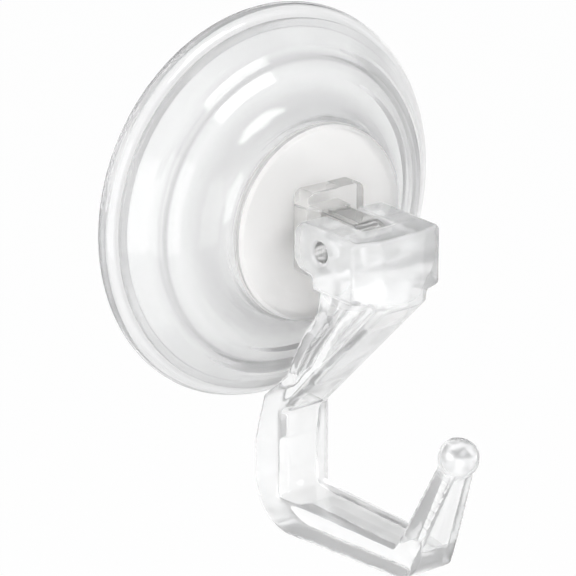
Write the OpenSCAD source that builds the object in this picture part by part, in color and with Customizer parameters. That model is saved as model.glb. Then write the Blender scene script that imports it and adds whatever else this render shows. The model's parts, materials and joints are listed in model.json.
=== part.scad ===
// Lever-lock suction cup hook: soft clear cup, stepped clear shell, stem, cross pin and hook lever.
// The wall is the plane y = 0, the hook stands out along -Y, and Z is up. Lengths are millimetres.
// The hook is drawn locked, with its lever hanging down.

/* [Cup] */
// How far the soft lip stands out beyond the shell
lip_w = 2.1; // [1.4:0.1:4]
// Thickness of the cup's rim under the shell
rim_t = 2.6; // [2:0.1:3.4]
// Thickness of the lip's edge
lip_t = 0.8; // [0.5:0.1:1.2]
// Thickness of the membrane near its middle
membrane_t = 1.5; // [1.2:0.1:2.2]
// How far the locked lever pulls the middle off the wall
pull = 2.5; // [1.5:0.1:3]
// Radius of the thick middle that grips the stem's foot
core_r = 8.5; // [7.6:0.1:10]

/* [Shell] */
// Radius of the pressure disc
disc_r = 16; // [14:0.1:18]
// Width of the cove between the disc and the land
cove_w = 5.9; // [4.5:0.1:7]
// Width of the land and the crest outside the cove
crest_w = 3.6; // [2.8:0.1:4.6]
// Width of the step outside the crest
step_w = 2; // [1.6:0.1:2.8]
// Width of the slope from the step down to the skirt
skirt_w = 3.4; // [2.6:0.1:4.4]
// Wall of the shell
shell_t = 2; // [1.6:0.1:2.4]
// Height of the shell's skirt above the cup's rim
skirt_h = 1; // [0.8:0.1:1.6]
// Distance of the land from the wall
land_d = 8.75; // [8:0.05:9.5]
// Distance of the disc's face from the wall
disc_d = 15; // [13:0.1:17]
// Thickness of the disc
disc_t = 2.2; // [1.8:0.1:2.8]
// Width of the raised pad that the lever presses on
pad_w = 11.4; // [10:0.1:14]
// Height of the pad
pad_h = 14; // [12:0.1:18]
// How far the pad stands off the disc
pad_t = 3.5; // [2.5:0.1:4.5]

/* [Stem and pin] */
// Thickness of the stem
stem_w = 5.2; // [4:0.1:6]
// Height of the stem
stem_h = 6.8; // [6:0.1:7]
// Radius of the foot inside the cup
foot_r = 6.4; // [5.8:0.1:7]
// Thickness of the foot
foot_t = 1.8; // [1.4:0.1:2.2]
// Radius of the cross pin
pin_r = 1.7; // [1.4:0.05:2]
// Clearance round the pin
pin_gap = 0.05; // [0.02:0.01:0.1]
// Clearance of the stem in the shell and in the lever
stem_gap = 0.4; // [0.3:0.05:0.6]
// Gap between the lever and the pad it presses on
press_gap = 0.3; // [0.3:0.05:0.6]

/* [Lever head] */
// Width of the head
head_w = 17.6; // [15:0.1:21]
// Height of the head above the pin
head_top = 3.5; // [3.2:0.1:4.2]
// Depth of the head's front below the pin
head_drop = 8.2; // [7:0.1:9.5]
// Depth of the head's full width below the pin
shelf_z = 6.6; // [6:0.1:7.4]
// How far the head's front stands beyond the pin
head_front = 10; // [8:0.1:12.5]
// Cam radius from the pin to the pad, lever down
cam_r = 6.6; // [6:0.1:7.2]

/* [Hook] */
// Width of the strap
strap_w = 10.5; // [8:0.1:12]
// Width of the flat ridge along the front
ridge_w = 7.4; // [5:0.1:8]
// Thickness of the rim along the arm's back
rim_back = 2.2; // [1.6:0.1:3]
// Width of that rim where it meets the head
rim_w = 14.6; // [12:0.1:17]
// Slope of the bevels beside the ridge, in degrees
bevel = 21; // [12:1:28]
// Distance of the strap's back from the wall
strap_back = 3.6; // [2.5:0.1:5]
// Thickness of the strap
strap_t = 7.3; // [6:0.1:8]
// Depth of the hook's seat below the pin
seat_z = 47; // [42:0.1:52]
// Thickness of the seat bar at its end
seat_t = 4.8; // [4.4:0.1:6.5]
// Distance of the seat's inner end from the wall
seat_end = 39.2; // [36:0.1:44]
// Width of the hook at the foot of its tip
toe_w = 8.8; // [7:0.1:10]
// Radius of the strap's outer bend
bend_r = 8.5; // [6:0.1:10]
// Radius of the seat's outer corner
toe_r = 4; // [2:0.1:5]
// Lean of the tip away from the wall, in degrees
tip_lean = 21; // [15:1:30]
// Length of the tip above the seat
tip_len = 18.4; // [14:0.1:22]
// Width of the tip at its neck
neck_w = 4.4; // [3.6:0.1:6]
// Thickness of the tip at its neck
neck_t = 3.4; // [2.8:0.1:4.4]
// Radius of the ball at the tip
ball_r = 3.3; // [2.6:0.1:4]
// Height of the ball
ball_h = 4.4; // [3.6:0.1:6]

/* [Hidden] */
fit = 0.05;                              // seat of the foot in the soft cup
land_r = disc_r + cove_w;                // where the land ends and the cove begins
crest_r = land_r + crest_w;              // the crest inside the step
step_r = crest_r + step_w;               // the step
shell_r = step_r + skirt_w;              // the shell's outer edge
cup_r = shell_r + lip_w;                 // the lip of the soft cup
pad_d = disc_d + pad_t;                  // face that the cam presses on
pin_d = pad_d + press_gap + cam_r;       // distance of the pin from the wall
head_d = pin_d + head_front;             // distance of the head's front from the wall
core_d = pull + membrane_t + foot_t + 2.6;   // top of the cup's thick middle
foot_d = pull + membrane_t;              // underside of the foot
skirt_d = rim_t + skirt_h;               // top of the skirt
step_d = skirt_d + (shell_r - step_r) * 0.7;
crest_d = step_d + 1.5;
cove_d = disc_d - 1.9;                   // foot of the disc's edge
front_d = strap_back + strap_t;          // front of the strap
elbow_z = front_d - head_d - head_drop;  // where the 45 degree arm meets the strap
seat_rise = 0.8;                         // how much the seat climbs towards the tip
tip_t = seat_t;                          // thickness of the tip at its foot
neck_in = 1.2;                           // the neck stands in from the tip's inner line
toe_y = -3.4;                            // the tip's outer corner lies this far below its foot
tip_taper = atan((tip_t - neck_in - neck_t) / (tip_len - toe_y));
over = 3;                                // how far a side view runs past a face that a bevel cuts
elbow_in = [front_d, elbow_z];
elbow_back = elbow_in + 5.1 * [-0.924, 0.383];
// Back of the arm from the elbow up to the cam, measured back and down from the pin.
arm_back = [for (p = [[17.2, 28.9], [12.7, 25], [10, 20.6], [7, 16], [2.5, 11], [1.5, 7.2], [2.2, 4.6], [5.4, 4]])
    [pin_d - p[0], -p[1]]];
arm_rim = [for (p = arm_back) if (p[1] < -shelf_z - 1) p];
elbow_over = elbow_in - over * [-0.924, 0.383];
bend_in = [front_d, -seat_z];
bend_over = bend_in + over * [0.7, 0.7];
bend_out = [strap_back, -seat_z - strap_t];
seat_in = [seat_end, -seat_z + seat_rise];
toe = leaned(tip_t, toe_y);
neck_out = leaned(neck_in + neck_t, tip_len);
seat_over = seat_in + over * (seat_in - toe) / norm(seat_in - toe);
// A point of the leaning tip: x out from its inner line, y up along it.
function leaned(x, y) = seat_in + x * [cos(tip_lean), -sin(tip_lean)] + y * [sin(tip_lean), cos(tip_lean)];
clear = "#E9F0F0";
soft = "#E6EDEE";

// Stands a profile of (radius, distance) on the wall as a revolved body.
module turned() rotate([90, 0, 0]) rotate_extrude($fn = 128) children();
// Extrudes a side view, drawn as (distance, height), across the hook.
module across(w) rotate([90, 0, -90]) linear_extrude(height = w, center = true) children();
// Extrudes a front view, drawn as (x, height), away from the wall.
module outward(d0, d1) translate([0, -d0, 0]) rotate([90, 0, 0]) linear_extrude(height = d1 - d0) children();
// Moves a part along the distance from the wall and the height.
module at(d, z) translate([0, -d, z]) children();

module suction_cup() color(soft) difference() {
    turned() polygon(concat(
        [[0, pull], [core_r, pull * 0.94]],
        [for (a = [15 : 15 : 75]) [core_r + (cup_r - 10.5 - core_r) * a / 90, pull * 0.94 * (1 + cos(2 * a)) / 2]],
        [[cup_r - 9, 0], [cup_r - 0.3, 0], [cup_r, lip_t / 2], [cup_r - 0.25, lip_t]],
        [for (a = [20 : 20 : 80]) [shell_r + (cup_r - 0.25 - shell_r) * cos(a), lip_t + (rim_t - lip_t) * sin(a)]],
        [[shell_r - 0.1, rim_t], [shell_r - shell_t - 0.8, rim_t], [shell_r - shell_t - 2.5, rim_t - 0.3],
         [cup_r - 14, membrane_t + 1], [core_r + 1.6, pull + membrane_t], [core_r, pull + membrane_t + 0.9],
         [core_r - 0.5, core_d - 0.5], [core_r - 1, core_d], [0, core_d]]));
    at(foot_d - fit, 0) rotate([90, 0, 0]) cylinder(r = foot_r + fit, h = foot_t + 2 * fit, $fn = 64);
    outward(foot_d, core_d + 1) square([stem_w + 2 * fit, stem_h + 2 * fit], center = true);
}

module pressure_shell() color(clear) difference() {
    union() {
        turned() difference() {
            shell_outline(0);
            shell_outline(shell_t);
            translate([-1, 0]) square([1, 30]);
        }
        outward(disc_d - 0.5, pad_d) rounded_rect(pad_w, pad_h, 1.4);
    }
    outward(disc_d - disc_t - 1, pad_d + 1) square([stem_w + 2 * stem_gap, stem_h + 2 * stem_gap], center = true);
}

// Outer outline of the shell, or its hollow when t is the wall.
module shell_outline(t) {
    k = t * 0.5;
    polygon(concat(
        [[0, rim_t - (t > 0 ? 1 : 0)], [shell_r - t, rim_t - (t > 0 ? 1 : 0)],
         [shell_r - t, skirt_d - t * 0.6], [shell_r - t * 0.75 - 0.5, skirt_d - t * 0.6 + (t > 0 ? 0 : 0.35)],
         [step_r + 0.4 - k, step_d - t], [step_r - 0.3 - k, step_d + 0.7 - t],
         [crest_r + 0.3 - k * 0.5, crest_d - t], [crest_r - 0.7 - k * 0.5, crest_d + 0.1 - t],
         [land_r + 1.2 - k * 0.5, land_d - 0.15 - t], [land_r - k * 0.5, land_d - t]],
        [for (a = [15 : 15 : 75]) [land_r - k * 0.5 - (land_r - k * 0.5 - disc_r - 0.4 + k) * sin(a),
                                   land_d - t + (cove_d - land_d) * (1 - cos(a))]],
        [[disc_r + 0.4 - k, cove_d - t], [disc_r + 0.2 - k, disc_d - (t > 0 ? disc_t : 0.6)],
         [disc_r - 0.4 - k, disc_d - (t > 0 ? disc_t : 0)], [0, disc_d - (t > 0 ? disc_t : 0)]]));
}

module rounded_rect(w, h, r) union() {
    square([w - 2 * r, h], center = true);
    square([w, h - 2 * r], center = true);
    for (x = [-1, 1], y = [-1, 1]) translate([x * (w / 2 - r), y * (h / 2 - r)]) circle(r = r, $fn = 32);
}

module stem() color(clear) difference() {
    union() {
        at(foot_d, 0) rotate([90, 0, 0]) cylinder(r = foot_r, h = foot_t, $fn = 64);
        across(stem_w) union() {
            translate([foot_d + 0.5, -stem_h / 2]) square([pin_d - foot_d - 0.5, stem_h]);
            translate([pin_d, 0]) circle(r = stem_h / 2, $fn = 64);
        }
    }
    at(pin_d, 0) rotate([0, 90, 0]) cylinder(r = pin_r + pin_gap, h = stem_w + 2, center = true, $fn = 48);
}

module cross_pin() color(clear)
    at(pin_d, 0) rotate([0, 90, 0]) cylinder(r = pin_r, h = head_w - 0.6, center = true, $fn = 48);

// Half of a section: flat ridge at n = 0, bevels falling away on both sides.
module roof(depth) polygon([[-ridge_w / 2, 0], [ridge_w / 2, 0], [head_w / 2 + 1, -tan(bevel) * (head_w / 2 + 1 - ridge_w / 2)],
    [head_w / 2 + 1, -depth], [-head_w / 2 - 1, -depth], [-head_w / 2 - 1, -tan(bevel) * (head_w / 2 + 1 - ridge_w / 2)]]);
// Runs the roof section along a front face through (d, z) whose outward side points at angle a above the distance axis.
module ridge(d, z, a, len = 60, depth = 40)
    at(d, z) rotate([-a, 0, 0]) rotate([180, 0, 0]) linear_extrude(height = 2 * len, center = true) roof(depth);

// Side view of the head and the arm, run past the faces that the bevels cut.
module arm_side() intersection() {
    polygon(concat([[pin_d - cam_r, -2.6], [pin_d - cam_r, head_top + 4], [head_d - 1.4, head_top + 4],
        [head_d + 1.4, head_top - 7], [head_d + over, -head_drop - over], elbow_over, elbow_back], arm_back));
    union() {
        translate([pin_d, 0]) circle(r = cam_r, $fn = 96);
        translate([pin_d - 30, -60]) square([60, 60]);
        translate([pin_d, -1]) square([30, 30]);
    }
    translate([-10, -60]) square([60, 60 + head_top]);
}

// The head over the pin, the web of the arm, and the rim that widens along its back.
module head_and_arm() intersection() {
    union() {
        intersection() {
            across(head_w) intersection() { arm_side(); translate([0, -shelf_z]) square(60); }
            outward(0, 60) polygon([for (p = [[1, -60], [1, head_top - 0.8], [1 - 1.6 / head_w, head_top],
                [1.6 / head_w - 1, head_top], [-1, head_top - 0.8], [-1, -60]]) [p[0] * head_w / 2, p[1]]]);
        }
        across(strap_w) arm_side();
        intersection() {
            across(head_w) polygon(concat([elbow_back], arm_rim, [[pin_d - 1.5, -shelf_z + 1], [pin_d + rim_back, -shelf_z + 1]],
                [for (i = [len(arm_rim) - 1 : -1 : 0]) arm_rim[i] + rim_back * [0.7, -0.7]], [elbow_back + rim_back * [0.7, -0.7]]));
            outward(0, 60) polygon([for (p = [[strap_w, elbow_z - 1], [strap_w, -27], [rim_w, -11], [rim_w, 0],
                [-rim_w, 0], [-rim_w, -11], [-strap_w, -27], [-strap_w, elbow_z - 1]]) [p[0] / 2, p[1]]]);
        }
    }
    ridge(head_d, -head_drop, 0);
    ridge(head_d, -head_drop, -45);
}

// The upright strap down to its outer bend.
module upright() intersection() {
    across(strap_w) difference() {
        polygon([elbow_over, elbow_back, [strap_back + 1.2, elbow_z - 2.6], [strap_back, elbow_z - 7], bend_out, bend_over]);
        round_off(bend_out, [strap_back, 0], toe, bend_r);
    }
    ridge(front_d, elbow_z, 0);
}

// The seat bar that carries what hangs on the hook.
module seat() intersection() {
    across(strap_w) difference() {
        polygon([bend_over, bend_out, toe, seat_over]);
        round_off(bend_out, [strap_back, 0], toe, bend_r);
        round_off(toe, bend_out, neck_out, toe_r);
    }
    ridge(front_d, -seat_z, 90 + atan(seat_rise / (seat_end - front_d)));
    tip_face();
    seat_plan();
}

// Seen from above, the bar narrows towards its tip.
module seat_plan() translate([0, 0, -70]) linear_extrude(height = 70) polygon([for (p = [[strap_w, 0], [strap_w, -front_d],
    [toe_w, -seat_end], [toe_w, -70], [-toe_w, -70], [-toe_w, -seat_end], [-strap_w, -front_d], [-strap_w, 0]]) [p[0] / 2, p[1]]]);

// What a round of radius r takes off the corner v, whose sides run towards a and b.
module round_off(v, a, b, r) {
    ua = (a - v) / norm(a - v);
    ub = (b - v) / norm(b - v);
    half = acos(ua * ub) / 2;
    c = v + (ua + ub) / norm(ua + ub) * r / sin(half);
    difference() {
        polygon([v + ua * r / tan(half), v + (v - c) * 0.4, v + ub * r / tan(half), c]);
        translate(c) circle(r = r + 0.006, $fn = 96);
    }
}

// The upturned tip, which narrows to its neck.
module tip() intersection() {
    across(strap_w) difference() {
        polygon([seat_in, seat_in - [1.2, 2.4], toe + [-2, 1.2], toe, leaned(tip_t + over, toe_y),
                 leaned(tip_t + over, tip_len), leaned(neck_in, tip_len)]);
        round_off(toe, bend_out, neck_out, toe_r);
    }
    at(seat_in[0], seat_in[1]) rotate([tip_lean, 0, 0])
        outward(-10, 20) polygon([for (p = [[1, -tip_len], [0, tip_len]]) [neck_w / 2 + p[0] * (toe_w - neck_w), p[1]],
            for (p = [[0, tip_len], [1, -tip_len]]) [-neck_w / 2 - p[0] * (toe_w - neck_w), p[1]]]);
    seat_plan();
    tip_face();
}

// The bevelled outer face of the tip, run far past both of its ends.
module tip_face() at(toe[0], toe[1]) rotate([tip_lean + tip_taper, 0, 0]) rotate([180, 0, 0])
    linear_extrude(height = 200, center = true) roof(60);

// The flattened ball that keeps a loop from slipping off.
module ball() at(seat_in[0], seat_in[1]) rotate([tip_lean, 0, 0]) at(neck_in + neck_t / 2, tip_len - 0.6)
    rotate_extrude($fn = 64) intersection() {
        translate([0, ball_h / 2]) circle(r = ball_r, $fn = 64);
        square([ball_r, ball_h]);
    }

module hook_lever() color(clear) difference() {
    union() { head_and_arm(); upright(); seat(); tip(); ball(); }
    // the slot the stem swings through
    across(stem_w + 2 * stem_gap) union() {
        translate([pin_d - 20, -stem_h / 2 - stem_gap]) square([20, 30]);
        translate([pin_d - 1, 0]) square([1 + stem_h / 2 + stem_gap, 30]);
        translate([pin_d, 0]) circle(r = stem_h / 2 + stem_gap, $fn = 64);
    }
    at(pin_d, 0) rotate([0, 90, 0]) cylinder(r = pin_r + pin_gap, h = head_w + 2, center = true, $fn = 48);
}

suction_cup();
pressure_shell();
stem();
cross_pin();
hook_lever();
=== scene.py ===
# %% [markdown]
# # A clear suction cup hook
# The object is a wall hook of clear plastic. A soft round cup sticks to the wall, a hard stepped
# shell presses on it, and a lever that ends in a hook pulls a stem through the middle of both.
# Everything here is clear, so there is very little colour to paint. What the eye sees is the shape
# of each piece bending the light of the room, and for that the pieces must be closed and smooth.

# %% Load the measured model
import json
import math
import bmesh
import bpy
from mathutils import Matrix, Vector

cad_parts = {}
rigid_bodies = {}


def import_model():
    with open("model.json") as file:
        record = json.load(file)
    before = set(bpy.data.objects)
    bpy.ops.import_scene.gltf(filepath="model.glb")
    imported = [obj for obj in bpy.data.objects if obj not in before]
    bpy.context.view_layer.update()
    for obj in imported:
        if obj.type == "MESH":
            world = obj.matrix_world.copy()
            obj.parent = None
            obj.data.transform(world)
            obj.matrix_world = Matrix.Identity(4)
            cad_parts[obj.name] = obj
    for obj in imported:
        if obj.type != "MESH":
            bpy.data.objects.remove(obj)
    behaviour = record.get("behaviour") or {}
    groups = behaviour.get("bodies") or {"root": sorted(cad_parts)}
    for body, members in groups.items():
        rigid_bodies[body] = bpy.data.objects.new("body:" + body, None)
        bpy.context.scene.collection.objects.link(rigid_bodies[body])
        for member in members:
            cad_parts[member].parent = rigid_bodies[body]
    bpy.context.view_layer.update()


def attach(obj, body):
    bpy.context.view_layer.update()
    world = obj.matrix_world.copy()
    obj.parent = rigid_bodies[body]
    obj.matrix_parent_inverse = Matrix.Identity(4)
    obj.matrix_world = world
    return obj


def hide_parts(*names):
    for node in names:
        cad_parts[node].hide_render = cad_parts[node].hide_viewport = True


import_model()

# %% [markdown]
# The camera stands in front and to the left of the hook, a little above it. A long lens half a
# metre away keeps the ellipses of the cup nearly parallel. Its place comes from an aim point, two
# angles and a distance, so that each can be changed by itself.

# %% The camera
LOOK_ANGLE, LOOK_HEIGHT = math.radians(-37.43), math.radians(20.31)
AIM = Vector((0.0046, 0.0, -0.01621))
STAND_OFF = 0.49499
towards_camera = Vector((math.sin(LOOK_ANGLE) * math.cos(LOOK_HEIGHT),
                         -math.cos(LOOK_ANGLE) * math.cos(LOOK_HEIGHT), math.sin(LOOK_HEIGHT)))
to_the_right = Vector((math.cos(LOOK_ANGLE), math.sin(LOOK_ANGLE), 0.0))
upwards = towards_camera.cross(to_the_right)

camera_data = bpy.data.cameras.new("camera")
camera_data.lens, camera_data.sensor_width = 187.5, 36.0
camera_data.clip_start, camera_data.clip_end = 0.01, 50.0
camera = bpy.data.objects.new("camera", camera_data)
bpy.context.scene.collection.objects.link(camera)
turn = Matrix((to_the_right, upwards, towards_camera)).transposed().to_4x4()
camera.matrix_world = Matrix.Translation(AIM + towards_camera * STAND_OFF) @ turn
bpy.context.scene.camera = camera
bpy.context.scene.view_settings.view_transform = "Standard"
print("camera at", [round(c, 3) for c in camera.matrix_world.translation])

# %% [markdown]
# A clear thing on white is lit as a photographer lights glass. The background is plain white, and
# the room round it is grey, with dark cards just outside the picture. Light that passes straight
# through meets the white, and light that an edge bends meets a card, which draws the edge dark.
# The world does this with Light Path: what the camera sees directly is white, and the rest of the
# light is a plain pale grey.

# %% The world
def node_maker(tree):
    """Gives a short way to add nodes to a tree and to wire them."""
    def add(kind, **settings):
        made = tree.nodes.new(kind)
        for key, value in settings.items():
            setattr(made, key, value)
        return made

    def wire(start, end):
        tree.links.new(start, end)
    return add, wire


def seen_directly(tree):
    """1 for rays that the camera sends, straight or through clear plastic."""
    add, wire = node_maker(tree)
    path = add("ShaderNodeLightPath")
    first = add("ShaderNodeMath", operation="MAXIMUM")
    wire(path.outputs["Is Camera Ray"], first.inputs[0])
    wire(path.outputs["Is Transmission Ray"], first.inputs[1])
    second = add("ShaderNodeMath", operation="MAXIMUM")
    wire(first.outputs[0], second.inputs[0])
    wire(path.outputs["Is Glossy Ray"], second.inputs[1])
    return second.outputs[0]


world = bpy.data.worlds.new("white room")
bpy.context.scene.world = world
world.use_nodes = True
world.node_tree.nodes.clear()
add, wire = node_maker(world.node_tree)
room = add("ShaderNodeBackground")
room.inputs["Color"].default_value = (0.78, 0.80, 0.82, 1)
room.inputs["Strength"].default_value = 0.75
white = add("ShaderNodeBackground")
white.inputs["Color"].default_value = (1, 1, 1, 1)
white.inputs["Strength"].default_value = 1.0
choose = add("ShaderNodeMixShader")
out = add("ShaderNodeOutputWorld")
wire(seen_directly(world.node_tree), choose.inputs[0])
wire(room.outputs[0], choose.inputs[1])
wire(white.outputs[0], choose.inputs[2])
wire(choose.outputs[0], out.inputs["Surface"])
print("world ready")

# %% [markdown]
# The floor is a plain white sheet well below the hook. The hook hangs on a wall in use, and the
# wall is left out, because it would hide the back of the cup. Nearly all of the sheet's white is its
# own, so that the background stays white. Only a small rest comes from the lamps, so the shadow of
# the hook on it is very faint.

# %% The floor
def flat_sheet(name, width, depth, place, facing):
    """A flat sheet of the stage, centred on a place and facing a direction."""
    mesh = bpy.data.meshes.new(name)
    w, d = width / 2, depth / 2
    mesh.from_pydata([(-w, -d, 0), (w, -d, 0), (w, d, 0), (-w, d, 0)], [], [(0, 1, 2, 3)])
    turned = Vector(facing).to_track_quat("Z", "Y").to_matrix().to_4x4()
    mesh.transform(Matrix.Translation(place) @ turned)
    mesh.uv_layers.new(name="sheet").data.foreach_set("uv", (0, 0, 1, 0, 1, 1, 0, 1))
    sheet = bpy.data.objects.new(name, mesh)
    bpy.context.scene.collection.objects.link(sheet)
    return sheet


FLOOR_DROP, FLOOR_SIZE, OWN_WHITE = 0.30, 8.0, 0.97
UP = (0, 0, 1)
floor = flat_sheet("floor", FLOOR_SIZE, FLOOR_SIZE, (0, 0, -FLOOR_DROP), UP)
floor_paper = bpy.data.materials.new("floor_paper")
floor_paper.use_nodes = True
floor_paper.node_tree.nodes.clear()
add, wire = node_maker(floor_paper.node_tree)
matt = add("ShaderNodeBsdfDiffuse")
matt.inputs["Color"].default_value = (0.9, 0.9, 0.9, 1)
glow = add("ShaderNodeEmission")
glow.inputs["Color"].default_value = (1, 1, 1, 1)
glow.inputs["Strength"].default_value = 1.0
blend = add("ShaderNodeMixShader")
share = add("ShaderNodeMath", operation="MULTIPLY")
share.inputs[1].default_value = OWN_WHITE
out = add("ShaderNodeOutputMaterial")
wire(seen_directly(floor_paper.node_tree), share.inputs[0])
wire(share.outputs[0], blend.inputs[0])
wire(matt.outputs[0], blend.inputs[1])
wire(glow.outputs[0], blend.inputs[2])
wire(blend.outputs[0], out.inputs["Surface"])
floor.data.materials.append(floor_paper)
print("floor at", -FLOOR_DROP)

# %% [markdown]
# The dark cards stand outside the picture: one high behind the hook, one to the right, one overhead
# and two small ones below, where the top and the right of the round rim bend their light to. The
# camera never sees them, and they cast no shadow. Only reflections and bent light meet them, and
# there they draw the dark lines along the rims and edges.

# %% The cards
def as_seen(right, up, away):
    """A place given by how far right of, above and behind the hook it lies for the camera."""
    return to_the_right * right + upwards * up - towards_camera * away


def card_paper(name, grey, soft_edge=0.45):
    """Paper of one grey that no lamp lights. Towards its edges it fades to nothing, so that no
    reflection of a card ends in a hard line."""
    made = bpy.data.materials.new(name)
    made.use_nodes = True
    made.node_tree.nodes.clear()
    add, wire = node_maker(made.node_tree)
    place = add("ShaderNodeTexCoord")
    from_middle = add("ShaderNodeVectorMath", operation="SUBTRACT")
    from_middle.inputs[1].default_value = (0.5, 0.5, 0.0)
    wire(place.outputs["UV"], from_middle.inputs[0])
    outwards = add("ShaderNodeVectorMath", operation="ABSOLUTE")
    wire(from_middle.outputs[0], outwards.inputs[0])
    two_ways = add("ShaderNodeSeparateXYZ")
    wire(outwards.outputs[0], two_ways.inputs[0])
    further = add("ShaderNodeMath", operation="MAXIMUM")
    wire(two_ways.outputs["X"], further.inputs[0])
    wire(two_ways.outputs["Y"], further.inputs[1])
    cover = add("ShaderNodeMapRange", interpolation_type="SMOOTHSTEP")
    to_edge = 0.5
    cover.inputs["From Min"].default_value = to_edge
    cover.inputs["From Max"].default_value = to_edge * (1 - soft_edge)
    wire(further.outputs[0], cover.inputs["Value"])
    glow = add("ShaderNodeEmission")
    glow.inputs["Color"].default_value = (grey, grey, grey, 1)
    mix = add("ShaderNodeMixShader")
    wire(cover.outputs["Result"], mix.inputs["Fac"])
    wire(add("ShaderNodeBsdfTransparent").outputs[0], mix.inputs[1])
    wire(glow.outputs[0], mix.inputs[2])
    out = add("ShaderNodeOutputMaterial")
    wire(mix.outputs[0], out.inputs["Surface"])
    return made


def dark_card(name, place, width, height, grey, facing=None):
    """Places a card, with its width and height in metres. It faces the hook, or another way."""
    card = flat_sheet(name, width, height, place, facing or -Vector(place))
    card.data.materials.append(card_paper(name + "_paper", grey))
    card.visible_camera = False
    card.visible_shadow = False
    card.visible_diffuse = False
    return card


dark_card("card_behind", as_seen(0.02, 0.36, 0.34), 0.80, 0.44, 0.08)
dark_card("card_right", as_seen(0.42, 0.04, 0.25), 0.30, 0.60, 0.12)
dark_card("card_over", Vector((0.0, -0.05, 0.45)), 0.80, 0.70, 0.28)
dark_card("card_under", Vector((0.0, -0.04, -0.22)), 0.24, 0.16, 0.05, UP)
dark_card("card_low_right", Vector((0.25, -0.02, -0.22)), 0.28, 0.16, 0.05, UP)
print("cards", 5)

# %% [markdown]
# Three broad soft lamps light the hook from in front: one from the right, one from the left and one
# from below. They are round and large, so their reflections are soft white shapes on the crest of
# the shell, on the left rim of the cup and on the bevels of the hook.

# %% The lamps
def soft_lamp(name, right, up, away, size, power):
    """A round lamp that shines at the hook, with its width in metres and its power in watts."""
    lamp_data = bpy.data.lights.new(name, "AREA")
    lamp_data.shape, lamp_data.size, lamp_data.energy = "DISK", size, power
    lamp = bpy.data.objects.new(name, lamp_data)
    place = as_seen(right, up, away)
    lamp.matrix_world = Matrix.Translation(place) @ place.to_track_quat("Z", "Y").to_matrix().to_4x4()
    lamp.visible_camera = False
    bpy.context.scene.collection.objects.link(lamp)
    return lamp


soft_lamp("lamp_right", 0.52, 0.24, -0.56, 0.42, 2.8)
soft_lamp("lamp_left", -0.60, 0.10, -0.50, 0.70, 4.4)
soft_lamp("lamp_low", 0.05, -0.42, -0.60, 0.90, 3.0)
print("lamps", 3)

# %% [markdown]
# The hard pieces are moulded in clear styrene or acrylic, the cup in softer clear vinyl. Both
# are mostly transmission. The plastic takes a little light away, the cup more than the hard parts.
# A mould leaves faint waves in such surfaces, so a large, weak noise bends the normals, and a second
# noise varies the gloss, as handling does.
# The shell and the cup have painted shade: their colour is darker in rings that run all the way
# round. The rings stand in for the light that steep walls and corners take away, which the shader's
# even tint doesn't show. The thick head and the ball are a little hazier. How strong these are was
# chosen one by one. Nothing is shaded towards one side: dark and bright sides come from the cards
# and the lamps.

# %% Clear plastic
MM = 0.001
RING_SPAN = 34.0
SPOT_CORE = 0.6
WEAR_SCALE, WEAR_SPREAD = 260.0, 0.4
SKIN_BLUR = 0.04


def within(add, wire, place, centre, reach):
    """One near a place (in mm), nothing beyond its reach."""
    gap = add("ShaderNodeVectorMath", operation="DISTANCE")
    gap.inputs[1].default_value = Vector(centre) * MM
    wire(place.outputs["Object"], gap.inputs[0])
    near = add("ShaderNodeMapRange", interpolation_type="SMOOTHSTEP")
    near.inputs["From Min"].default_value = reach * MM
    near.inputs["From Max"].default_value = SPOT_CORE * reach * MM
    wire(gap.outputs["Value"], near.inputs["Value"])
    return near.outputs["Result"]


def ring_shade(add, wire, place, shade, rings):
    """Paints shade into a colour in rings about the hook's axis, by (radius in mm, share of light) pairs."""
    flat = add("ShaderNodeVectorMath", operation="MULTIPLY")
    flat.inputs[1].default_value = (1, 0, 1)
    wire(place.outputs["Object"], flat.inputs[0])
    radius = add("ShaderNodeVectorMath", operation="LENGTH")
    wire(flat.outputs[0], radius.inputs[0])
    along = add("ShaderNodeMapRange")
    along.inputs["From Max"].default_value = RING_SPAN * MM
    wire(radius.outputs["Value"], along.inputs["Value"])
    ramp = add("ShaderNodeValToRGB")
    stops = ramp.color_ramp.elements
    stops.remove(stops[-1])
    for i, (r, light) in enumerate(rings):
        stop = stops[0] if i == 0 else stops.new(r / RING_SPAN)
        stop.position, stop.color = r / RING_SPAN, (light, light, light, 1)
    wire(along.outputs["Result"], ramp.inputs["Fac"])
    # Painted shade: the colour is multiplied by the grey of the rings.
    painted_ring_shade = add("ShaderNodeMix", data_type="RGBA", blend_type="MULTIPLY")
    painted_ring_shade.inputs["Factor"].default_value = 1.0
    wire(shade, painted_ring_shade.inputs["A"])
    wire(ramp.outputs["Color"], painted_ring_shade.inputs["B"])
    return painted_ring_shade.outputs["Result"]


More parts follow.
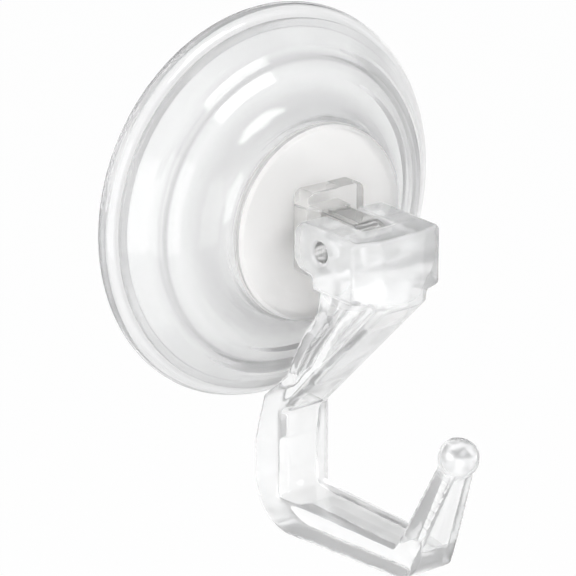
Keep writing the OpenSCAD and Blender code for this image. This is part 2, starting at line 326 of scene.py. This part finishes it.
def clear_plastic(name, tint, deep_tint, bend, blur, haze, skin, wave, wave_size, rings=(), spots=()):
    """A clear plastic: its tint, how far it bends and blurs light, its haze, its glossy skin, the
    mould's waves, its rings of painted shade, and thick places that are hazier, each with its x, y, z
    and reach in mm, its added haze and its added blur."""
    made = bpy.data.materials.new(name)
    made.use_nodes = True
    made.node_tree.nodes.clear()
    add, wire = node_maker(made.node_tree)
    place = add("ShaderNodeTexCoord")
    waves = add("ShaderNodeTexNoise")
    waves.inputs["Scale"].default_value = 1.0 / wave_size
    waves.inputs["Detail"].default_value = 1.5
    wire(place.outputs["Object"], waves.inputs["Vector"])
    wear = add("ShaderNodeTexNoise")
    wear.inputs["Scale"].default_value = WEAR_SCALE
    wear.inputs["Detail"].default_value = 3.0
    wire(place.outputs["Object"], wear.inputs["Vector"])
    colour = add("ShaderNodeMix", data_type="RGBA")
    colour.inputs["A"].default_value = (*tint, 1)
    colour.inputs["B"].default_value = (*deep_tint, 1)
    wire(waves.outputs["Fac"], colour.inputs["Factor"])
    shade = colour.outputs["Result"]
    # Painted shade in rings about the axis darkens the tint.
    if rings:
        shade = ring_shade(add, wire, place, shade, rings)
    rough = add("ShaderNodeMapRange")
    rough.inputs["To Min"].default_value = blur * (1 - WEAR_SPREAD)
    rough.inputs["To Max"].default_value = blur * (1 + WEAR_SPREAD)
    wire(wear.outputs["Fac"], rough.inputs["Value"])
    blurred, clearness = rough.outputs["Result"], None
    for x, y, z, reach, more_haze, more_blur in spots:
        near = within(add, wire, place, (x, y, z), reach)
        more = add("ShaderNodeMath", operation="MULTIPLY_ADD")
        more.inputs[1].default_value = more_blur
        wire(near, more.inputs[0])
        wire(blurred, more.inputs[2])
        blurred = more.outputs[0]
        less = add("ShaderNodeMath", operation="MULTIPLY_ADD")
        less.inputs[1].default_value, less.inputs[2].default_value = -more_haze, 1.0 - haze
        wire(near, less.inputs[0])
        if clearness:
            wire(clearness, less.inputs[2])
        clearness = less.outputs[0]
    bump = add("ShaderNodeBump")
    bump.inputs["Strength"].default_value = 1.0
    bump.inputs["Distance"].default_value = wave
    wire(waves.outputs["Fac"], bump.inputs["Height"])
    surface = add("ShaderNodeBsdfPrincipled")
    surface.inputs["IOR"].default_value = bend
    surface.inputs["Transmission Weight"].default_value = 1.0 - haze
    surface.inputs["Coat Weight"].default_value = skin
    surface.inputs["Coat Roughness"].default_value = SKIN_BLUR
    if clearness:
        wire(clearness, surface.inputs["Transmission Weight"])
    wire(shade, surface.inputs["Base Color"])
    wire(blurred, surface.inputs["Roughness"])
    wire(bump.outputs["Normal"], surface.inputs["Normal"])
    out = add("ShaderNodeOutputMaterial")
    wire(surface.outputs[0], out.inputs["Surface"])
    print("material", name)
    return made


# Painted shade: the share of light kept at each radius in mm of the shell and of the cup.
shell_shade_rings = ((15.0, 0.98), (16.2, 0.90), (17.6, 0.80), (19.6, 0.84), (21.4, 0.95), (23.6, 0.97),
               (24.7, 0.90), (25.2, 0.68), (25.7, 0.82), (26.6, 0.95), (30.4, 0.95))
cup_shade_rings = ((29.0, 1.0), (30.7, 0.94), (31.2, 0.82), (31.6, 0.92), (32.9, 0.92))
lever_spots = ((0, -27, 0, 15, 0.13, 0.10), (0, -49.1, -28.9, 6, 0.10, 0.10))

lever_clear = clear_plastic("lever_clear", (0.975, 0.975, 0.975), (0.93, 0.93, 0.93), bend=1.46, blur=0.06,
                            haze=0.18, skin=0.3, wave=0.08 * MM, wave_size=8 * MM, spots=lever_spots)
shell_clear = clear_plastic("shell_clear", (1.0, 1.0, 1.0), (0.97, 0.97, 0.97), bend=1.44, blur=0.10,
                            haze=0.24, skin=0.0, wave=0.12 * MM, wave_size=14 * MM, rings=shell_shade_rings)
disc_frosted = clear_plastic("disc_frosted", (1.0, 0.99, 0.98), (0.98, 0.97, 0.96), bend=1.40, blur=0.40,
                             haze=0.40, skin=0.0, wave=0.08 * MM, wave_size=14 * MM)
pad_clear = clear_plastic("pad_clear", (1.0, 1.0, 0.99), (0.99, 0.98, 0.97), bend=1.44, blur=0.12,
                          haze=0.20, skin=0.0, wave=0.08 * MM, wave_size=14 * MM)
cup_clear = clear_plastic("cup_clear", (1.0, 1.0, 1.0), (0.98, 0.98, 0.985), bend=1.38, blur=0.06,
                          haze=0.20, skin=0.2, wave=0.15 * MM, wave_size=12 * MM, rings=cup_shade_rings)
stem_clear = clear_plastic("stem_clear", (1.0, 1.0, 0.99), (0.98, 0.98, 0.97), bend=1.42, blur=0.06,
                           haze=0.12, skin=0.2, wave=0.08 * MM, wave_size=8 * MM)

# %% [markdown]
# The cup, the shell and the pin are round, so each is one outline turned about an axis. Geometry
# Nodes do this by rule. A grid is made with one row for each point of the outline and one column
# for each step of the turn, and every grid point is moved to its place on the circle. Before that,
# Fillet Curve rounds all the corners of the outline at once, as the mould's cutter does. The
# alternative is the Screw modifier, but there the corners would have to be rounded by hand.

# %% A tree that turns an outline
SAME_PLACE = 1e-6


def turning_tree():
    """Geometry Nodes that round an outline in the X-Y plane and turn it about the Y axis."""
    tree = bpy.data.node_groups.new("turn_an_outline", "GeometryNodeTree")
    face = tree.interface
    face.new_socket("Outline", in_out="INPUT", socket_type="NodeSocketGeometry")
    for name, kind, value in (("Corner radius", "NodeSocketFloat", 0.3 * MM),
                              ("Corner steps", "NodeSocketInt", 4),
                              ("Turn steps", "NodeSocketInt", 128),
                              ("Finish", "NodeSocketMaterial", None)):
        socket = face.new_socket(name, in_out="INPUT", socket_type=kind)
        if value is not None:
            socket.default_value = value
    face.new_socket("Turned", in_out="OUTPUT", socket_type="NodeSocketGeometry")
    add, wire = node_maker(tree)

    def reckon(operation, first, second=None):
        """One step of arithmetic on two values or sockets."""
        step = add("ShaderNodeMath", operation=operation)
        for slot, value in zip(step.inputs, (first, second)):
            if isinstance(value, (int, float)):
                slot.default_value = value
            elif value is not None:
                wire(value, slot)
        return step.outputs[0]

    given = add("NodeGroupInput")
    result = add("NodeGroupOutput")
    line = add("GeometryNodeMeshToCurve")
    rounded = add("GeometryNodeFilletCurve")
    if hasattr(rounded, "mode"):
        rounded.mode = "POLY"
    wire(given.outputs["Outline"], line.inputs[0])
    wire(line.outputs[0], rounded.inputs["Curve"])
    wire(given.outputs["Corner radius"], rounded.inputs["Radius"])
    wire(given.outputs["Corner steps"], rounded.inputs["Count"])
    rounded.inputs["Limit Radius"].default_value = True
    size = add("GeometryNodeAttributeDomainSize", component="CURVE")
    wire(rounded.outputs[0], size.inputs[0])
    steps = reckon("ADD", given.outputs["Turn steps"], 1)
    grid = add("GeometryNodeMeshGrid")
    wire(size.outputs["Point Count"], grid.inputs["Vertices X"])
    wire(steps, grid.inputs["Vertices Y"])
    index = add("GeometryNodeInputIndex").outputs[0]
    row = reckon("FLOOR", reckon("DIVIDE", reckon("ADD", index, 0.5), steps))
    column = reckon("SUBTRACT", index, reckon("MULTIPLY", row, steps))
    angle = reckon("MULTIPLY", reckon("DIVIDE", column, given.outputs["Turn steps"]), 2 * math.pi)
    point = add("GeometryNodeSampleIndex", data_type="FLOAT_VECTOR", domain="POINT")
    wire(rounded.outputs[0], point.inputs["Geometry"])
    wire(add("GeometryNodeInputPosition").outputs[0], point.inputs["Value"])
    wire(row, point.inputs["Index"])
    split = add("ShaderNodeSeparateXYZ")
    wire(point.outputs[0], split.inputs[0])
    join = add("ShaderNodeCombineXYZ")
    wire(reckon("MULTIPLY", split.outputs["X"], reckon("SINE", angle)), join.inputs["X"])
    wire(split.outputs["Y"], join.inputs["Y"])
    wire(reckon("MULTIPLY", split.outputs["X"], reckon("COSINE", angle)), join.inputs["Z"])
    move = add("GeometryNodeSetPosition")
    wire(grid.outputs["Mesh"], move.inputs["Geometry"])
    wire(join.outputs[0], move.inputs["Position"])
    merge = add("GeometryNodeMergeByDistance")
    merge.inputs["Distance"].default_value = SAME_PLACE
    wire(move.outputs[0], merge.inputs["Geometry"])
    real = add("GeometryNodeRealizeInstances")
    wire(merge.outputs[0], real.inputs[0])
    paint = add("GeometryNodeSetMaterial")
    wire(real.outputs[0], paint.inputs["Geometry"])
    wire(given.outputs["Finish"], paint.inputs["Material"])
    wire(paint.outputs[0], result.inputs["Turned"])
    return tree


turn_tree = turning_tree()
print("tree", turn_tree.name, len(turn_tree.nodes), "nodes")

# %% [markdown]
# The tree needs an outline to work on. The helper takes the outline's points as (radius, distance
# from the wall) in millimetres, sets the tree's inputs by their identifiers, and keeps the evaluated
# result as a plain mesh. Its faces are then made to point outwards.

# %% Turning a piece
def plain_object(name, mesh):
    """An object for a mesh, linked to the scene."""
    made = bpy.data.objects.new(name, mesh)
    bpy.context.scene.collection.objects.link(made)
    return made


def face_outwards(mesh, close_gap=SAME_PLACE):
    """Merges doubles, points every face of a closed mesh outwards, and counts its open edges."""
    work = bmesh.new()
    work.from_mesh(mesh)
    bmesh.ops.remove_doubles(work, verts=work.verts, dist=close_gap)
    bmesh.ops.recalc_face_normals(work, faces=work.faces)
    if work.calc_volume(signed=True) < 0:
        bmesh.ops.reverse_faces(work, faces=work.faces)
    open_edges = sum(1 for e in work.edges if len(e.link_faces) != 2)
    work.to_mesh(mesh)
    work.free()
    return open_edges


def turned_piece(name, outline, corner, finish, turn_steps=160, corner_steps=4):
    """Turns an outline about the Y axis with the tree above, and keeps the result as a plain mesh."""
    line = bpy.data.meshes.new(name + "_outline")
    ties = [(i, i + 1) for i in range(len(outline) - 1)]
    line.from_pydata([(r * MM, -d * MM, 0) for r, d in outline], ties, [])
    drawn = plain_object(name + "_outline", line)
    nodes = drawn.modifiers.new("turn", "NODES")
    nodes.node_group = turn_tree
    sockets = {s.name: s.identifier for s in turn_tree.interface.items_tree if s.in_out == "INPUT"}
    nodes[sockets["Corner radius"]] = corner * MM
    nodes[sockets["Corner steps"]] = corner_steps
    nodes[sockets["Turn steps"]] = turn_steps
    nodes[sockets["Finish"]] = finish
    ready = drawn.evaluated_get(bpy.context.evaluated_depsgraph_get())
    mesh = bpy.data.meshes.new_from_object(ready)
    mesh.name = name
    drawn.modifiers.clear()
    bpy.data.objects.remove(drawn)
    gaps = face_outwards(mesh)
    mesh.shade_smooth()
    print(name, len(mesh.polygons), "faces,", gaps, "open edges")
    return plain_object(name, mesh)

# %% [markdown]
# The soft cup is thick at its rim, thin in its membrane and thick again where it grips the stem.
# Its underside touches the wall in a ring near the lip and is drawn 2.5 mm off the wall in the
# middle, because the hook is locked. The wall is the plane y = 0.

# %% The soft cup
CUP_R, RIM_T, LIP_T, MEMBRANE_T, PULL, CORE_R = 33.0, 2.6, 0.8, 1.5, 2.5, 8.5
SHELL_R, SHELL_T = 30.9, 2.0
FOOT_R, FOOT_T, STEM_HOLE_R, SNUG = 6.4, 1.8, 3.6, 0.05
SEAL_R, LIFT_R, LIFT_STEPS = 24.0, 22.5, 12
core_pull = PULL * 0.94
core_top = PULL + MEMBRANE_T + FOOT_T + 2.6
foot_under, foot_over = PULL + MEMBRANE_T - SNUG, PULL + MEMBRANE_T + FOOT_T + SNUG


def wave(a, b, share):
    """Runs smoothly from a to b as the share goes from 0 to 1."""
    return a + (b - a) * (1 - math.cos(math.pi * share)) / 2


cup_under = [(0, PULL), (CORE_R, core_pull)]
cup_under += [(CORE_R + (LIFT_R - CORE_R) * i / LIFT_STEPS, wave(core_pull, 0.02, i / LIFT_STEPS))
              for i in range(1, LIFT_STEPS)]
cup_under += [(SEAL_R, 0.0), (CUP_R - 0.35, 0.0), (CUP_R, LIP_T / 2), (CUP_R - 0.25, LIP_T)]
cup_over = [(SHELL_R + (CUP_R - 0.25 - SHELL_R) * math.cos(math.radians(a)),
             LIP_T + (RIM_T - LIP_T) * math.sin(math.radians(a))) for a in range(10, 90, 10)]
cup_over += [(SHELL_R - 0.1, RIM_T), (SHELL_R - SHELL_T - 0.8, RIM_T), (SHELL_R - SHELL_T - 2.5, RIM_T - 0.3),
             (19.0, MEMBRANE_T + 1.0), (CORE_R + 1.6, PULL + MEMBRANE_T), (CORE_R, PULL + MEMBRANE_T + 0.9),
             (CORE_R - 0.5, core_top - 0.5), (CORE_R - 1.0, core_top), (STEM_HOLE_R, core_top),
             (STEM_HOLE_R, foot_over), (FOOT_R + SNUG, foot_over), (FOOT_R + SNUG, foot_under), (0, foot_under)]
cup = turned_piece("soft_cup", cup_under + cup_over, 0.2, cup_clear, 192, 3)

# %% [markdown]
# The shell is a stepped dish. From its skirt it climbs over two small steps to a round crest, runs
# over a flat land into a deep cove, and ends in the disc that the lever presses on. The outline
# goes up the outside and comes back down the inside, one wall thickness below.

# %% The shell's outline
SKIRT_D, STEP_R, CREST_R, LAND_R, LAND_D = 3.6, 27.5, 25.5, 21.9, 8.75
DISC_R, DISC_D, DISC_T = 16.0, 15.0, 2.2
PAD_W, PAD_H, PAD_T = 11.4, 14.0, 3.5
step_d = SKIRT_D + (SHELL_R - STEP_R) * 0.7
crest_d = step_d + 1.5
cove_d = DISC_D - 1.9


def shell_side(t):
    """One side of the shell's wall, from the skirt to the disc. It lies t inside the outer side."""
    k = t * 0.5
    side = [(SHELL_R - t * 0.75 - (0.5 if t else 0), SKIRT_D - t * 0.6)]
    side += [(STEP_R + 0.4 - k, step_d - t), (STEP_R - 0.3 - k, step_d + 0.7 - t),
             (CREST_R + 0.3 - k / 2, crest_d - t), (CREST_R - 0.7 - k / 2, crest_d + 0.1 - t),
             (LAND_R + 1.2 - k / 2, LAND_D - 0.15 - t), (LAND_R - k / 2, LAND_D - t)]
    cove_width = LAND_R - k / 2 - DISC_R - 0.4 + k
    for a in range(8, 90, 8):
        s, c = math.sin(math.radians(a)), math.cos(math.radians(a))
        side.append((LAND_R - k / 2 - cove_width * s, LAND_D - t + (cove_d - LAND_D) * (1 - c)))
    side += [(DISC_R + 0.4 - k, cove_d - t), (DISC_R + 0.2 - k, DISC_D - (DISC_T if t else 0.6)),
             (DISC_R - 0.4 - k, DISC_D - (DISC_T if t else 0))]
    return side


shell_outline = [(0, DISC_D - DISC_T)] + shell_side(SHELL_T)[::-1]
shell_outline += [(SHELL_R - SHELL_T, SKIRT_D - SHELL_T * 0.6), (SHELL_R - SHELL_T, RIM_T + 0.02),
                  (SHELL_R, RIM_T + 0.02)]
shell_outline += shell_side(0) + [(0, DISC_D)]
shell = turned_piece("shell", shell_outline, 0.35, shell_clear, 192, 4)

# %% [markdown]
# In the middle of the disc stands the raised pad that the cam of the lever pushes on, with the slot
# that the stem comes through. These are not round, so they are made as a block with bevelled edges
# and joined to the shell by Boolean modifiers, which keeps one closed surface. In clear plastic
# every hidden face shows, so two blocks that only overlap would not do.

# %% Blocks and joins
def rounded_block(name, width, height, near, far, corner, edge, steps=5):
    """A block that stands off the wall from near to far, with round corners and a bevelled far edge."""
    work = bmesh.new()
    ring = []
    for cx, cz, start in ((1, 1, 0), (-1, 1, 90), (-1, -1, 180), (1, -1, 270)):
        for i in range(steps + 1):
            a = math.radians(start + 90 * i / steps)
            ring.append((cx * (width / 2 - corner) + corner * math.cos(a),
                         cz * (height / 2 - corner) + corner * math.sin(a)))
    bevel = [math.radians(a) for a in range(0, 91, 18)]
    rows = [(near, 0.0)] + [(far - edge + edge * math.sin(a), edge * (1 - math.cos(a))) for a in bevel]
    layers = []
    for distance, inset in rows:
        sx, sz = (width / 2 - inset) / (width / 2), (height / 2 - inset) / (height / 2)
        layers.append([work.verts.new((x * sx * MM, -distance * MM, z * sz * MM)) for x, z in ring])
    for low, high in zip(layers, layers[1:]):
        for i in range(len(ring)):
            j = (i + 1) % len(ring)
            work.faces.new((low[i], low[j], high[j], high[i]))
    work.faces.new(layers[0])
    work.faces.new(layers[-1])
    bmesh.ops.recalc_face_normals(work, faces=work.faces)
    mesh = bpy.data.meshes.new(name)
    work.to_mesh(mesh)
    work.free()
    mesh.shade_smooth()
    return plain_object(name, mesh)


def combine(piece, tool, operation):
    """Joins a tool to a piece or cuts it out, and throws the tool away."""
    change = piece.modifiers.new("combine", "BOOLEAN")
    change.operation, change.solver, change.object = operation, "EXACT", tool
    ready = piece.evaluated_get(bpy.context.evaluated_depsgraph_get())
    mesh = bpy.data.meshes.new_from_object(ready)
    piece.modifiers.clear()
    piece.data = mesh
    bpy.data.objects.remove(tool)
    return piece


pad = rounded_block("pad", PAD_W, PAD_H, DISC_D - 0.6, DISC_D + PAD_T, 1.4, 0.4)
pad.data.materials.append(shell_clear)
combine(shell, pad, "UNION")
SLOT_W, SLOT_H = 6.0, 7.6
slot_cut = rounded_block("slot_cut", SLOT_W, SLOT_H, DISC_D - DISC_T - 1.5, DISC_D + PAD_T + 1.0, 0.3, 0.05)
slot_cut.data.materials.append(shell_clear)
combine(shell, slot_cut, "DIFFERENCE")
face_outwards(shell.data)
shell.data.shade_smooth()

CLEAR, FROSTED, PAD = 0, 1, 2
shell.data.materials.clear()
for finish in (shell_clear, disc_frosted, pad_clear):
    shell.data.materials.append(finish)
for face in shell.data.polygons:
    out_from_axis, off_wall = math.hypot(face.center.x, face.center.z) / MM, -face.center.y / MM
    if out_from_axis < DISC_R + 0.1 and off_wall > DISC_D - DISC_T - 0.3:
        face.material_index = PAD if off_wall > DISC_D + 0.05 else FROSTED
shell.data.set_sharp_from_angle(angle=math.radians(38))
print("shell", len(shell.data.polygons), "faces,",
      sum(face.material_index != CLEAR for face in shell.data.polygons), "of them on the disc and the pad")

# %% [markdown]
# The lever is one moulding: a block with a cam at the top, a slanted arm, an upright strap and a
# seat that turns up into a ball. The measured model already has its exact faces, but all its edges
# are knife sharp, which no moulding is. A copy of it is merged, remeshed with small voxels and
# smoothed, so that each edge gets a radius of a few tenths of a millimetre to catch the light.

# %% A softened copy of a measured piece
def softened_copy(node, name, voxel, smoothing, finish):
    """Copies a node's mesh, closes it, and rounds its edges by a fine remesh."""
    source = bpy.data.objects.get(node) or next(o for o in bpy.data.objects if o.name.startswith(node))
    mesh = source.data.copy()
    mesh.name = name
    face_outwards(mesh, 2 * SAME_PLACE)
    copy = plain_object(name, mesh)
    remesh = copy.modifiers.new("remesh", "REMESH")
    remesh.mode, remesh.voxel_size, remesh.adaptivity = "VOXEL", voxel * MM, 0.0
    smooth = copy.modifiers.new("smooth", "SMOOTH")
    smooth.factor, smooth.iterations = 0.5, smoothing
    ready = copy.evaluated_get(bpy.context.evaluated_depsgraph_get())
    mesh = bpy.data.meshes.new_from_object(ready)
    copy.modifiers.clear()
    copy.data = mesh
    gaps = face_outwards(mesh)
    mesh.materials.clear()
    mesh.materials.append(finish)
    mesh.shade_smooth()
    print(name, len(mesh.polygons), "faces,", gaps, "open edges")
    return copy


lever = softened_copy("hook_lever", "lever", voxel=0.24, smoothing=16, finish=lever_clear)
stem = softened_copy("stem", "stem_piece", voxel=0.16, smoothing=4, finish=stem_clear)

# %% [markdown]
# The cross pin is a plain rod with rounded ends. It is turned about the Y axis by the same tree as
# the cup, and its mesh is then laid across the head at the pin's place.

# %% The cross pin
PIN_R, PIN_D, PIN_LENGTH, PIN_SLACK = 1.7, 25.4, 17.0, 0.03
half, rod_r = PIN_LENGTH / 2, PIN_R - PIN_SLACK
pin = turned_piece("pin", [(0, -half), (rod_r, -half), (rod_r, half), (0, half)], 0.3, stem_clear, 48, 4)
pin.data.transform(Matrix.Translation((0, -PIN_D * MM, 0)) @ Matrix.Rotation(math.radians(90), 4, "Z"))
print("pin at", -PIN_D * MM)

# %% [markdown]
# Each piece now rides on the body that carries it and stands for its measured node. The lever and
# nothing else turns about the pin.

# %% Which piece rides where
for piece, body, node, slot in ((cup, "base", "suction_cup", "soft_clear"),
                                (shell, "base", "pressure_shell", "shell_clear"),
                                (stem, "base", "stem", "stem_clear"),
                                (pin, "base", "cross_pin", "pin_clear"),
                                (lever, "lever", "hook_lever", "lever_clear")):
    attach(piece, body)
    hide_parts(node)
    print(piece.name, "rides on", body)
